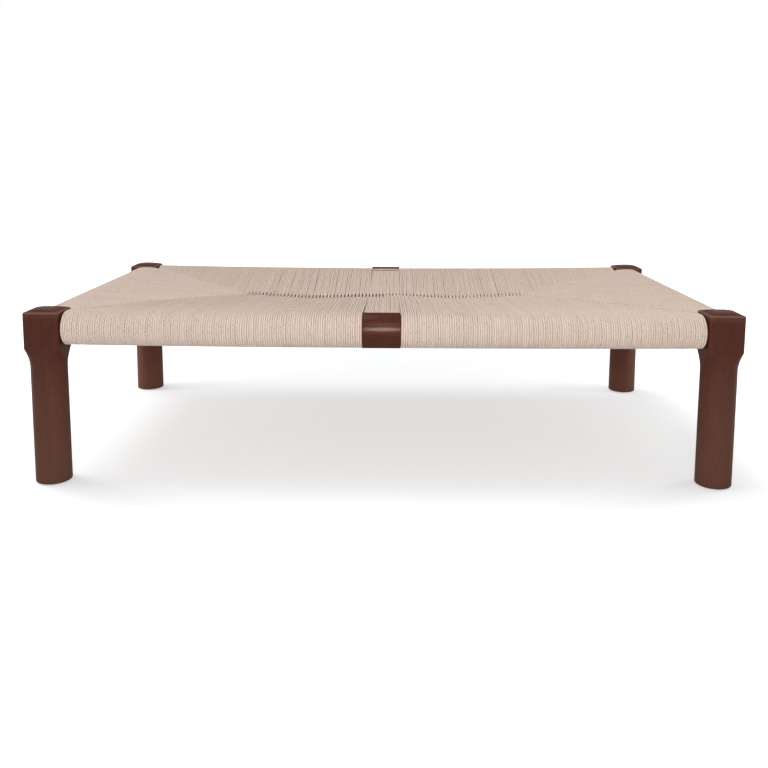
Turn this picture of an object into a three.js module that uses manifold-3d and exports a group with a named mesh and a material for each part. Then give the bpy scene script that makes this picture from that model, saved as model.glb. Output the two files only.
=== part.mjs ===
// A low rectangular table with a woven paper cord top on a dark hardwood frame.
// Four legs are turned from square stock and keep a square head. Four rails with half-round noses are
// tenoned into the heads, and paper cord is wrapped round the rails in an envelope pattern: four
// wedge-shaped fields meet at diagonal seams and at one straight seam along the middle. At mid-length
// each long rail is notched, the cords there run behind a half-round wooden cap, and a short cord
// lies in a rabbet behind the cap's upper edge.
// Millimetres. X runs along the table, Y from front to back, Z up. The origin is on the floor, at
// the middle of the table.
import * as THREE from "three";
import { mergeVertices } from "three/addons/utils/BufferGeometryUtils.js";
import Module from "manifold-3d";

const wasm = await Module();
wasm.setup();

// Whole table
const tableLength = 1524;
const tableDepth = 813;
const tableHeight = 387;

// Fits and cutters
const fitGap = 0.3; // between faces that meet
const cutOverrun = 5; // how far a cutter runs past what it cuts

// Legs
const legSize = 76.2; // side of the square head, and diameter of the turned shaft
const legEdgeRadius = 5; // rounding of the head's upright edges
const legTopRound = 5; // rounding of the edges of the head's top
const legDome = 5.5; // how much the head's top is crowned
const headHeight = 83; // square part, down to the shoulder
const shoulderHeight = 26; // from the square head down to the round shaft
const footChamfer = 2;

// Rails
const railHeight = 65; // also twice the radius of the nose
const railDepth = 64;
const railSetback = 6; // bare nose, behind the outer faces of the heads
const railInnerRound = 12; // rounding of the two edges on the inside of the table
const wrapBelowTop = 9; // from the top of the heads down to the cords

// Tenons and mortises
const tenonThickness = 18;
const tenonHeight = 46;

// Paper cord
const cordDiameter = 4.5;
const wrapStart = 3; // bare rail between a head and the first cord
const seamThickness = 26; // of the weave where its upper and lower layers meet
const seamWall = 12; // closed width of the weave along the middle seam

// Caps at mid-length of the long rails
const capLength = 82;
const capNotchFace = 42; // from the heads' outer faces in to the notched face of the rail
const capProud = 1.2; // how far the cap's round face stands out from the cords beside it
const cordBend = 9; // outer radius of the cords where they turn down behind a cap
const edgeCordOut = 2.3; // the short cord's middle, out from the face of the cords behind a cap

// Screws that hold the caps from inside the frame
const screwDiameter = 4.5;
const screwHeadDiameter = 10;
const screwHeadHeight = 3;
const screwSpacing = 44;
const screwBite = 22; // depth of thread in the cap

// Tacks that hold the cord's ends to the inside of the long rails
const tackDiameter = 2;
const tackHeadDiameter = 8;
const tackHeadHeight = 1.2;
const tackLength = 16;
const tackFromHead = 80; // along the rail, from a leg head

// Glides under the feet
const glideDiameter = 34;
const glideHeight = 2;
const glideEdge = 0.5; // chamfer round the face on the floor
const glidePinDiameter = 3;
const glidePinLength = 15;

// Numbers of flat sides and steps on round forms
const legSides = 40;
const noseSteps = 14;
const smallRoundSteps = 4;
const domeSteps = 5;
const pinSides = 12;

// Sizes that follow from those above
const legHalf = legSize / 2;
const wrapRadius = railHeight / 2 + cordDiameter;
const capRadius = wrapRadius + capProud;
const boreRadius = railHeight / 2 + fitGap; // inside of the wrapped nose
const railZ = tableHeight - wrapBelowTop - wrapRadius; // middle of the rails
const noseIn = railSetback + railHeight / 2; // centre of the nose, in from the outer faces
const railInner = railSetback + railDepth; // inner face of a rail, in from the outer faces
const seamIn = tableDepth / 2 - fitGap / 2; // end of each field of weave, in from the outer faces
const capHalf = capLength / 2;
const cordRadius = cordDiameter / 2;
const strandFace = capNotchFace - cordDiameter; // outside of the cords behind a cap
const mitreGap = fitGap / 2 * Math.SQRT2; // along one side of a mitre, for a gap of fitGap across it

const legX = tableLength / 2 - legHalf;
const legY = tableDepth / 2 - legHalf;
const headInnerX = tableLength / 2 - legSize;
const headInnerY = tableDepth / 2 - legSize;

// Materials
const darkWood = new THREE.MeshStandardMaterial({ color: "#4f2f27", roughness: 0.45, metalness: 0 });
const paperCord = new THREE.MeshStandardMaterial({ color: "#cbb8a4", roughness: 0.85, metalness: 0 });
const nylon = new THREE.MeshStandardMaterial({ color: "#2a2624", roughness: 0.6, metalness: 0 });
const steel = new THREE.MeshStandardMaterial({ color: "#9c9a96", roughness: 0.35, metalness: 1 });

// A closed geometry as a solid that can be joined and cut
function solidOf(geometry) {
  const bare = new THREE.BufferGeometry();
  bare.setAttribute("position", geometry.getAttribute("position"));
  if (geometry.index) bare.setIndex(geometry.index);
  const merged = mergeVertices(bare, 1e-4);
  return new wasm.Manifold(
    new wasm.Mesh({
      numProp: 3,
      vertProperties: new Float32Array(merged.getAttribute("position").array),
      triVerts: new Uint32Array(merged.index.array),
    }),
  );
}

// A solid as a geometry again, with flat faces
function geometryOf(solid) {
  const mesh = solid.getMesh();
  const geometry = new THREE.BufferGeometry();
  geometry.setAttribute("position", new THREE.BufferAttribute(new Float32Array(mesh.vertProperties), 3));
  geometry.setIndex(new THREE.BufferAttribute(new Uint32Array(mesh.triVerts), 1));
  const flat = geometry.toNonIndexed();
  flat.computeVertexNormals();
  return flat;
}

function named(name, solid, material) {
  const mesh = new THREE.Mesh(geometryOf(solid), material);
  mesh.name = name;
  return mesh;
}

function extruded(shape, length, options = {}) {
  return new THREE.ExtrudeGeometry(shape, { depth: length, bevelEnabled: false, ...options });
}

// An outline in Y and Z, drawn along X from startX to endX
function alongX(shape, startX, endX, curveSegments = noseSteps) {
  const geometry = extruded(shape, endX - startX, { curveSegments });
  const axes = new THREE.Matrix4().makeBasis(
    new THREE.Vector3(0, 1, 0),
    new THREE.Vector3(0, 0, 1),
    new THREE.Vector3(1, 0, 0),
  );
  return solidOf(geometry.applyMatrix4(axes).translate(startX, 0, 0));
}

// A plan outline in X and Y, drawn up from lowZ to highZ
function upright(corners, lowZ, highZ) {
  const shape = new THREE.Shape(corners.map(([x, y]) => new THREE.Vector2(x, y)));
  return solidOf(extruded(shape, highZ - lowZ).translate(0, 0, lowZ));
}

function box(lowX, highX, lowY, highY, lowZ, highZ) {
  return upright([[lowX, lowY], [highX, lowY], [highX, highY], [lowX, highY]], lowZ, highZ);
}

// A profile of [radius, height] pairs, turned about the upright axis
function turned(profile, sides) {
  const points = profile.map(([radius, height]) => new THREE.Vector2(radius, height));
  return solidOf(new THREE.LatheGeometry(points, sides).rotateX(Math.PI / 2));
}

// The same profile turned about a line that points along +Y
function turnedAlongY(profile, sides) {
  const points = profile.map(([radius, height]) => new THREE.Vector2(radius, height));
  return solidOf(new THREE.LatheGeometry(points, sides));
}

// Legs: square stock with rounded edges, cut by the turned form that leaves a square head

function legBlock() {
  const middle = legHalf - legEdgeRadius;
  const shape = new THREE.Shape();
  shape.absarc(middle, middle, legEdgeRadius, 0, Math.PI / 2);
  shape.absarc(-middle, middle, legEdgeRadius, Math.PI / 2, Math.PI);
  shape.absarc(-middle, -middle, legEdgeRadius, Math.PI, 1.5 * Math.PI);
  shape.absarc(middle, -middle, legEdgeRadius, 1.5 * Math.PI, 2 * Math.PI);
  return solidOf(extruded(shape, tableHeight + cutOverrun, { curveSegments: smallRoundSteps }));
}

// The head's top is arched in both directions, and its edges are rounded
function legCrown() {
  const flat = legHalf - legTopRound;
  const roundZ = tableHeight - legDome - legTopRound;
  const shape = new THREE.Shape();
  shape.moveTo(-legHalf, 0);
  shape.lineTo(legHalf, 0);
  shape.absarc(flat, roundZ, legTopRound, 0, Math.PI / 2);
  for (let step = 1 - domeSteps; step < domeSteps; step += 1) {
    const share = step / domeSteps;
    shape.lineTo(-share * flat, tableHeight - legDome * share ** 2);
  }
  shape.absarc(-flat, roundZ, legTopRound, Math.PI / 2, Math.PI);
  shape.closePath();
  const arch = alongX(shape, -legHalf, legHalf, smallRoundSteps);
  return arch.intersect(arch.rotate([0, 0, 90]));
}

function legTurning() {
  const reach = legHalf * Math.SQRT2;
  const headBottom = tableHeight - headHeight;
  const highZ = tableHeight + cutOverrun;
  const profile = [
    [0, glideHeight],
    [legHalf - footChamfer, glideHeight],
    [legHalf, glideHeight + footChamfer],
    [legHalf, headBottom - shoulderHeight],
    [reach, headBottom],
    [reach, highZ],
    [0, highZ],
  ];
  return turned(profile, legSides);
}

// The two mortises meet in the middle of the head, on the sides that face the rails
function legMortises() {
  const across = tenonThickness / 2 + fitGap;
  const outer = legHalf + cutOverrun;
  const lowZ = railZ - tenonHeight / 2 - fitGap;
  const highZ = railZ + tenonHeight / 2 + fitGap;
  return box(-across, outer, -across, across, lowZ, highZ).add(
    box(-across, across, -across, outer, lowZ, highZ),
  );
}

function glidePinHole() {
  const radius = glidePinDiameter / 2 + fitGap;
  const top = glideHeight + glidePinLength + fitGap;
  return turned([[0, 0], [radius, 0], [radius, top], [0, top]], pinSides);
}

function legSolid() {
  const outside = legBlock().intersect(legCrown()).intersect(legTurning());
  return outside.subtract(legMortises()).subtract(glidePinHole());
}

function glideSolid() {
  const radius = glideDiameter / 2;
  const pin = glidePinDiameter / 2;
  const seat = glideHeight - fitGap / 2;
  const top = glideHeight + glidePinLength;
  const profile = [[0, 0], [radius - glideEdge, 0], [radius, glideEdge], [radius, seat], [pin, seat]];
  profile.push([pin, top - glidePinDiameter], [0, top]);
  return turned(profile, legSides);
}

// Rails: outline across a rail, with the nose towards the outside of the table

function railOutline() {
  const half = railHeight / 2;
  const shape = new THREE.Shape();
  shape.moveTo(noseIn, half);
  shape.absarc(noseIn, 0, half, Math.PI / 2, 1.5 * Math.PI);
  shape.lineTo(railInner - railInnerRound, -half);
  shape.absarc(railInner - railInnerRound, railInnerRound - half, railInnerRound, -Math.PI / 2, 0);
  shape.absarc(railInner - railInnerRound, half - railInnerRound, railInnerRound, 0, Math.PI / 2);
  shape.closePath();
  return shape;
}

// A rail along X for a side whose heads' inner faces are at x = -headInner and +headInner,
// with its outer face at y = 0. The mitred tenons reach into the middle of the heads.
function railSolid(headInner) {
  const end = headInner - fitGap;
  const middle = headInner + legHalf;
  const low = legHalf - tenonThickness / 2;
  const high = legHalf + tenonThickness / 2;
  const nearTip = middle - tenonThickness / 2 - mitreGap;
  const farTip = middle + tenonThickness / 2 - mitreGap;
  const root = end - cutOverrun;
  let rail = alongX(railOutline(), -end, end);
  for (const side of [-1, 1]) {
    const corners = [[side * root, low], [side * farTip, low], [side * nearTip, high], [side * root, high]];
    rail = rail.add(upright(side > 0 ? corners : corners.reverse(), -tenonHeight / 2, tenonHeight / 2));
  }
  return rail;
}

function longRailSolid() {
  return railSolid(headInnerX).subtract(capNotch()).subtract(screwHoles()).subtract(tackHoles());
}

// The notch leaves a core with rounded edges, for the cords that pass behind the cap
function capNotch() {
  const half = capHalf + fitGap;
  const high = railHeight / 2 + cutOverrun;
  const round = cordBend - cordDiameter - fitGap;
  const edge = railHeight / 2;
  const core = new THREE.Shape();
  core.moveTo(railInner, edge);
  core.absarc(capNotchFace + round, edge - round, round, Math.PI / 2, Math.PI);
  core.absarc(capNotchFace + round, round - edge, round, Math.PI, 1.5 * Math.PI);
  core.lineTo(railInner, -edge);
  core.closePath();
  const kept = alongX(core, -half - cutOverrun, half + cutOverrun, smallRoundSteps);
  return box(-half, half, -cutOverrun, capNotchFace + round, -high, high).subtract(kept);
}

// Weave: each field is a hollow wedge that goes round its rail and narrows to the seam

// Outline of the wedge, with its hollow, across a wrapped rail
function weaveOutline() {
  const seamHalf = seamThickness / 2;
  const shape = new THREE.Shape();
  shape.moveTo(seamIn, seamHalf);
  shape.lineTo(railInner, wrapRadius);
  shape.absarc(noseIn, 0, wrapRadius, Math.PI / 2, 1.5 * Math.PI);
  shape.lineTo(railInner, -wrapRadius);
  shape.lineTo(seamIn, -seamHalf);
  shape.closePath();
  shape.holes.push(hollowOf(noseIn, boreRadius));
  return shape;
}

// The hollow runs from the rail to the closed strip at the seam
function hollowOf(centreIn, radius) {
  const seamHalf = seamThickness / 2;
  const fall = (wrapRadius - seamHalf) / (seamIn - railInner);
  const endIn = seamIn - seamWall;
  const endHalf = boreRadius - fall * (endIn - railInner);
  const hollow = new THREE.Path();
  hollow.moveTo(railInner, boreRadius);
  hollow.lineTo(endIn, endHalf);
  hollow.lineTo(endIn, -endHalf);
  hollow.lineTo(railInner, -boreRadius);
  hollow.lineTo(centreIn, -boreRadius);
  hollow.absarc(centreIn, radius - boreRadius, radius, 1.5 * Math.PI, Math.PI, true);
  hollow.absarc(centreIn, boreRadius - radius, radius, Math.PI, Math.PI / 2, true);
  hollow.closePath();
  return hollow;
}

// How far in from the outer face a mitred edge lies at a distance from the head's inner face
function mitredIn(fromHead) {
  return legSize + fromHead - mitreGap;
}

function cutToPlan(field, corners) {
  const high = wrapRadius + cutOverrun;
  return field.intersect(upright(corners, -high, high));
}

// One half of a long field, from its leg head to the cap at mid-length; side is -1 or 1
function longWeaveSolid(side) {
  const startX = headInnerX - wrapStart;
  const endX = capHalf + fitGap;
  const seamX = headInnerX - (seamIn - legSize) - mitreGap;
  const corners = [
    [side * startX, -cutOverrun],
    [side * startX, mitredIn(wrapStart)],
    [side * seamX, seamIn],
    [side * endX, seamIn],
    [side * endX, -cutOverrun],
  ];
  const length = headInnerX;
  const field = side > 0 ? alongX(weaveOutline(), 0, length) : alongX(weaveOutline(), -length, 0);
  return cutToPlan(field, side > 0 ? corners : corners.reverse());
}

// A short field is a triangle behind its wrapped rail, with its tip on the middle seam
function shortWeaveSolid() {
  const startX = headInnerY - wrapStart;
  const tipIn = seamIn - mitreGap;
  const corners = [
    [-startX, -cutOverrun],
    [startX, -cutOverrun],
    [startX, mitredIn(wrapStart)],
    [0, tipIn],
    [-startX, mitredIn(wrapStart)],
  ];
  return cutToPlan(alongX(weaveOutline(), -headInnerY, headInnerY), corners);
}

// The cords at mid-length turn down behind the cap and pass round the notched rail
function centreWeaveSolid() {
  const seamHalf = seamThickness / 2;
  const bendIn = strandFace + cordBend;
  const innerBend = cordBend - cordDiameter;
  const shape = new THREE.Shape();
  shape.moveTo(seamIn, seamHalf);
  shape.lineTo(railInner, wrapRadius);
  shape.absarc(bendIn, wrapRadius - cordBend, cordBend, Math.PI / 2, Math.PI);
  shape.absarc(bendIn, cordBend - wrapRadius, cordBend, Math.PI, 1.5 * Math.PI);
  shape.lineTo(railInner, -wrapRadius);
  shape.lineTo(seamIn, -seamHalf);
  shape.closePath();
  const hollowIn = capNotchFace - fitGap + innerBend;
  shape.holes.push(hollowOf(hollowIn, innerBend));
  return alongX(shape, fitGap - capHalf, capHalf - fitGap, smallRoundSteps).subtract(screwHoles());
}

// Caps and their screws

// The short cord rests in a rabbet of the cap, against the cords that turn down behind it
function edgeCordPlace() {
  const inward = strandFace - edgeCordOut;
  const reach = cordBend + fitGap + cordRadius;
  const rise = Math.sqrt(reach ** 2 - (cordBend + edgeCordOut) ** 2);
  return { inward, z: wrapRadius - cordBend + rise };
}

function capSolid() {
  const backFace = strandFace - fitGap;
  const half = Math.sqrt(capRadius ** 2 - (noseIn - backFace) ** 2);
  const shape = new THREE.Shape();
  const spread = Math.asin(half / capRadius);
  shape.moveTo(backFace, half);
  shape.absarc(noseIn, 0, capRadius, Math.PI - spread, Math.PI + spread);
  shape.closePath();
  const groove = edgeCordPlace();
  const clear = cordRadius + fitGap;
  const highZ = capRadius + cutOverrun;
  const outline = new THREE.Shape();
  outline.moveTo(groove.inward + clear, highZ);
  outline.lineTo(groove.inward - clear, highZ);
  outline.absarc(groove.inward, groove.z, clear, Math.PI, 2 * Math.PI);
  outline.closePath();
  const cap = alongX(shape, -capHalf, capHalf, 2 * noseSteps);
  const grooveCut = alongX(outline, -capHalf - cutOverrun, capHalf + cutOverrun, pinSides);
  return cap.subtract(grooveCut).subtract(screwHoles());
}

function edgeCordSolid() {
  const place = edgeCordPlace();
  const shape = new THREE.Shape();
  shape.absarc(place.inward, place.z, cordRadius, 0, 2 * Math.PI);
  return alongX(shape, fitGap - capHalf, capHalf - fitGap, pinSides);
}

const screwTip = strandFace - fitGap - screwBite;

function screwHoles() {
  const radius = screwDiameter / 2 + fitGap;
  const start = screwTip - fitGap;
  const end = railInner + cutOverrun;
  const hole = turnedAlongY([[0, start], [radius, start], [radius, end], [0, end]], pinSides);
  const offset = screwSpacing / 2;
  return hole.translate([-offset, 0, 0]).add(hole.translate([offset, 0, 0]));
}

function screwSolid() {
  const shank = screwDiameter / 2;
  const head = screwHeadDiameter / 2;
  const seat = railInner + fitGap;
  const top = seat + screwHeadHeight;
  const profile = [[0, screwTip], [shank, screwTip + screwDiameter], [shank, seat], [head, seat]];
  profile.push([head, top - screwHeadHeight / 2], [head - screwHeadHeight / 2, top], [0, top]);
  return turnedAlongY(profile, pinSides);
}

// Tacks in the inner faces of the long rails

const tackX = headInnerX - tackFromHead;

function tackHoles() {
  const radius = tackDiameter / 2 + fitGap;
  const start = railInner - tackLength - fitGap;
  const end = railInner + cutOverrun;
  const hole = turnedAlongY([[0, start], [radius, start], [radius, end], [0, end]], pinSides);
  return hole.translate([-tackX, 0, 0]).add(hole.translate([tackX, 0, 0]));
}

function tackSolid() {
  const shank = tackDiameter / 2;
  const head = tackHeadDiameter / 2;
  const tip = railInner - tackLength;
  const seat = railInner + fitGap;
  const top = seat + tackHeadHeight;
  const profile = [[0, tip], [shank, tip + tackDiameter], [shank, seat], [head, seat], [head, top], [0, top]];
  return turnedAlongY(profile, pinSides);
}

// Assembly

const table = new THREE.Group();

// Each turn of the leg puts its mortises towards the two rails that meet at that corner
const corners = [
  { name: "front_left", x: -legX, y: -legY, turns: 0 },
  { name: "front_right", x: legX, y: -legY, turns: 1 },
  { name: "back_right", x: legX, y: legY, turns: 2 },
  { name: "back_left", x: -legX, y: legY, turns: 3 },
];
for (const corner of corners) {
  const post = new THREE.Group();
  post.add(named(`${corner.name}_leg`, legSolid(), darkWood));
  post.add(named(`${corner.name}_glide`, glideSolid(), nylon));
  post.position.set(corner.x, corner.y, 0);
  post.rotation.z = corner.turns * Math.PI / 2;
  table.add(post);
}

// A long side is drawn as the front one; the back one is the same, turned half round
function longSide(name, lowXName, highXName) {
  const side = new THREE.Group();
  side.add(named(`${name}_rail`, longRailSolid(), darkWood));
  side.add(named(`${name}_${lowXName}_weave`, longWeaveSolid(-1), paperCord));
  side.add(named(`${name}_${highXName}_weave`, longWeaveSolid(1), paperCord));
  side.add(named(`${name}_center_weave`, centreWeaveSolid(), paperCord));
  side.add(named(`${name}_center_cap`, capSolid(), darkWood));
  side.add(named(`${name}_edge_cord`, edgeCordSolid(), paperCord));
  for (const [label, sign] of [[lowXName, -1], [highXName, 1]]) {
    const screw = named(`${name}_cap_screw_${label}`, screwSolid(), steel);
    screw.position.x = sign * screwSpacing / 2;
    side.add(screw);
    const tack = named(`${name}_cord_tack_${label}`, tackSolid(), steel);
    tack.position.x = sign * tackX;
    side.add(tack);
  }
  return side;
}

function shortSide(name) {
  const side = new THREE.Group();
  side.add(named(`${name}_rail`, railSolid(headInnerY), darkWood));
  side.add(named(`${name}_weave`, shortWeaveSolid(), paperCord));
  return side;
}

const sides = [
  { group: longSide("front", "left", "right"), x: 0, y: -tableDepth / 2, turns: 0 },
  { group: shortSide("right"), x: tableLength / 2, y: 0, turns: 1 },
  { group: longSide("back", "right", "left"), x: 0, y: tableDepth / 2, turns: 2 },
  { group: shortSide("left"), x: -tableLength / 2, y: 0, turns: 3 },
];
for (const { group, x, y, turns } of sides) {
  group.position.set(x, y, railZ);
  group.rotation.z = turns * Math.PI / 2;
  table.add(group);
}

export default table;
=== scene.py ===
import bpy
import bmesh
import math
import random
from mathutils import Matrix, Vector


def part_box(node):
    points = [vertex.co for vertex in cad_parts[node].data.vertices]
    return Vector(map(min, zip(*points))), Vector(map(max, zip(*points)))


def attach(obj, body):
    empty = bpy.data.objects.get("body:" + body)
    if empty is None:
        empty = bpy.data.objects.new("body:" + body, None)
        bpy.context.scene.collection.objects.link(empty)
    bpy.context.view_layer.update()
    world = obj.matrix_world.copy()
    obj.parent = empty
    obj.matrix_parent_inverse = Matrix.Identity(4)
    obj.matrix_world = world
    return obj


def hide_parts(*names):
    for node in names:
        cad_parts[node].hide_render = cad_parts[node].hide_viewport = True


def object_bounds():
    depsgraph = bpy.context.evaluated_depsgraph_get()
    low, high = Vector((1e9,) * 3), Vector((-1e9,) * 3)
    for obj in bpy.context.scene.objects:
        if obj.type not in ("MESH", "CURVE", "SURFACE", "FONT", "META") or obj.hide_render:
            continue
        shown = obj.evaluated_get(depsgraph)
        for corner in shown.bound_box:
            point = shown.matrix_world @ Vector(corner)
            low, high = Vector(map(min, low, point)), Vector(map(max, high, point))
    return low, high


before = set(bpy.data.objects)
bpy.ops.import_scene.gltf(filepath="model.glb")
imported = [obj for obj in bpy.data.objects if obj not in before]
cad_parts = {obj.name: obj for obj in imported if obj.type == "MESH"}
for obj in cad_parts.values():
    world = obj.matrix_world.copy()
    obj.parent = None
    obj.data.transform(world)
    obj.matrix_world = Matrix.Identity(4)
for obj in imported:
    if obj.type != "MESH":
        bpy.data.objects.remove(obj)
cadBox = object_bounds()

# A low woven table: turned legs of walnut-stained wood, half-round rails wrapped in natural paper cord.
# Metres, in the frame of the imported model: X along the table, Y to its back, Z up.
# Sizes in the settings are in millimetres.

mm = 0.001
lowest, highest = cadBox
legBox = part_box("front_left_leg")
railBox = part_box("front_rail")
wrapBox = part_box("front_left_weave")
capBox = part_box("front_center_cap")
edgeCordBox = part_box("front_edge_cord")

tableLength = highest.x - lowest.x
tableDepth = highest.y - lowest.y
legSize = legBox[1].x - legBox[0].x
railZ = (railBox[0].z + railBox[1].z) / 2
railRadius = (railBox[1].z - railBox[0].z) / 2
wrapRadius = (wrapBox[1].z - wrapBox[0].z) / 2
cordDiameter = wrapRadius - railRadius + 0.27 * mm  # plump enough to touch its neighbours
cordRadius = cordDiameter / 2
noseIn = railBox[0].y - lowest.y + railRadius  # from the outer face in to the centre of a rail's nose
railInner = railBox[1].y - lowest.y
headInnerX = tableLength / 2 - legSize
headInnerY = tableDepth / 2 - legSize
capHalf = (capBox[1].x - capBox[0].x) / 2
capBack = capBox[1].y - lowest.y


def mix(a, b, share):
    return a + (b - a) * share


def smoothStep(value, start, end):
    t = max(0.0, min(1.0, (value - start) / (end - start)))
    return t * t * (3 - 2 * t)


# Nodes and colours

def addNode(tree, kind, inputs=None, stops=None, **settings):
    node = tree.nodes.new(kind)
    for key, value in settings.items():
        setattr(node, key, value)
    for key, value in (inputs or {}).items():
        socket = node.inputs[key] if isinstance(key, int) else next(
            s for s in node.inputs if s.name == key and s.enabled)
        if isinstance(value, bpy.types.NodeSocket):
            tree.links.new(value, socket)
        else:
            socket.default_value = value
    if stops:  # places and colours along a colour ramp
        elements = node.color_ramp.elements
        elements[0].position, elements[0].color = stops[0]
        elements[1].position, elements[1].color = stops[-1]
        for position, colour in stops[1:-1]:
            elements.new(position).color = colour
    return node


def out(node, name=None):
    return next(s for s in node.outputs if s.enabled and name in (None, s.name))


def linear(hexColour):  # an sRGB hex value as the linear colour that Blender's sockets take
    channels = [int(hexColour[i:i + 2], 16) / 255 for i in (1, 3, 5)]
    return [c / 12.92 if c <= 0.04045 else ((c + 0.055) / 1.055) ** 2.4 for c in channels] + [1.0]


white = [1, 1, 1, 1]


def newMaterial(name):
    material = bpy.data.materials.new(name)
    material.use_nodes = True
    material.node_tree.nodes.clear()
    return material, material.node_tree


# Walnut-stained hardwood, turned and sanded, under satin lacquer: dark red-brown with fine long grain
# that shows only faintly through the stain, small pores, and wide soft highlights. On the legs a paler
# colour
# is painted in as light: toward the feet, as a painted highlight line along the heads' upper edges, and on
# the crown.
woodFinish = {
    "stain": ((0.34, "#4b281f"), (0.5, "#502b21"), (0.66, "#552e23")),  # places and colours along the grain
    "pore": "#cfc6c2", "poreFrom": 0.27, "poreTo": 0.4,
    # the paler colour of the painted light and painted highlight on the legs
    "paintedLightColour": "#7d5a4b",
    # shares of the leg's height, and how much paler colour is painted in there as light
    "paintedLightAt": ((0.1, 0.36), (0.5, 0.2), (0.8, 0.0), (0.94, 0.0), (0.973, 0.2), (0.979, 1.0),
               (0.982, 1.0), (0.9855, 0.0), (0.99, 0.0), (0.997, 0.57)),
    # width of the marks, noise detail and how far they bend
    "marks": {"figure": (17, 3.0, 0.4), "grain": (2.0, 4.0, 0.0), "pore": (0.7, 1.0, 0.0)},
    "markRoughness": 0.58, "stretch": 20, "grainShare": 0.4,
    "roughness": (0.5, 0.6), "roughnessFrom": (0.3, 0.7),
    # only the lacquer shines
    "coat": 0.12, "coatRoughness": 0.24, "coatIor": 1.5, "bump": 0.05, "bumpDepth": 0.2,
}


def stainedWood(name, grainAxis):
    f = woodFinish
    material, tree = newMaterial(name)
    place = out(addNode(tree, "ShaderNodeTexCoord"), "Object")
    noises = {}
    for label, (width, detail, bend) in f["marks"].items():
        scale = [1 / (width * mm)] * 3
        scale["XYZ".index(grainAxis)] /= f["stretch"]
        stretched = addNode(tree, "ShaderNodeMapping", {"Vector": place, "Scale": scale})
        noises[label] = out(addNode(tree, "ShaderNodeTexNoise", {
            "Vector": out(stretched), "Scale": 1.0, "Detail": detail,
            "Roughness": f["markRoughness"], "Distortion": bend}))
    both = out(addNode(tree, "ShaderNodeMix", {
        "Factor": f["grainShare"], "A": noises["figure"], "B": noises["grain"]}, data_type="FLOAT"))
    stain = out(addNode(tree, "ShaderNodeValToRGB", {"Fac": both}, stops=[
        (at, linear(shade)) for at, shade in f["stain"]]))
    # painted light on the legs: paler toward the feet, a painted highlight line on the heads' upper edges,
    # a paler crown
    if grainAxis == "Z":
        height = out(addNode(tree, "ShaderNodeSeparateXYZ", {"Vector": place}), "Z")
        share = addNode(tree, "ShaderNodeMath", {0: height, 1: highest.z}, operation="DIVIDE")
        paintedLightMask = addNode(tree, "ShaderNodeValToRGB", {"Fac": out(share)}, stops=[
            (at, [lightShare, lightShare, lightShare, 1]) for at, lightShare in f["paintedLightAt"]])
        stain = out(addNode(tree, "ShaderNodeMix", {
            "Factor": out(paintedLightMask), "A": stain, "B": linear(f["paintedLightColour"])}, data_type="RGBA"))
    pores = out(addNode(tree, "ShaderNodeValToRGB", {"Fac": noises["pore"]}, stops=[
        (f["poreFrom"], linear(f["pore"])), (f["poreTo"], white)]))
    colour = addNode(tree, "ShaderNodeMix", {"Factor": 1.0, "A": stain, "B": pores},
                     data_type="RGBA", blend_type="MULTIPLY")
    rough = addNode(tree, "ShaderNodeMapRange", {
        "Value": noises["grain"], "From Min": f["roughnessFrom"][0], "From Max": f["roughnessFrom"][1],
        "To Min": f["roughness"][0], "To Max": f["roughness"][1]})
    bump = addNode(tree, "ShaderNodeBump", {
        "Strength": f["bump"], "Distance": f["bumpDepth"] * mm, "Height": both})
    lacquered = addNode(tree, "ShaderNodeBsdfPrincipled", {
        "Base Color": out(colour), "Roughness": out(rough), "Normal": out(bump), "Specular IOR Level": 0.0,
        "Coat Weight": f["coat"], "Coat Roughness": f["coatRoughness"], "Coat IOR": f["coatIor"]})
    addNode(tree, "ShaderNodeOutputMaterial", {"Surface": out(lacquered)})
    return material


# Twisted kraft-paper cord, unbleached and unwaxed: dull warm beige strands with fine slanting lines of
# painted shade in the grooves where the plies meet, some cords pinker and some yellower, and darker fibres
# here and there.
cordFinish = {
    "hues": ((0.2, "#e1d1c1"), (0.5, "#e5d4c8"), (0.8, "#e9d7cd")),  # from the yellower to the pinker cords
    "driftShare": 0.45, "driftLength": 60,
    "plies": 3, "twistPitch": 9, "plyTop": 0.4, "plyGrooveShade": "#f2ede8", "plyLine": 0.6,
    "fibre": "#e6dacb", "fibreSize": 3.6, "fibreFrom": 0.3, "fibreTo": 0.46, "fibreHeight": 0.35,
    "roughness": 0.85, "ior": 1.45, "specular": 0.2, "bump": 0.4, "bumpDepth": 0.1,
    "shade": {"long": 1.0, "short": 0.93},  # painted shade: the cord of the two short sides is painted a little darker
}


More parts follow.
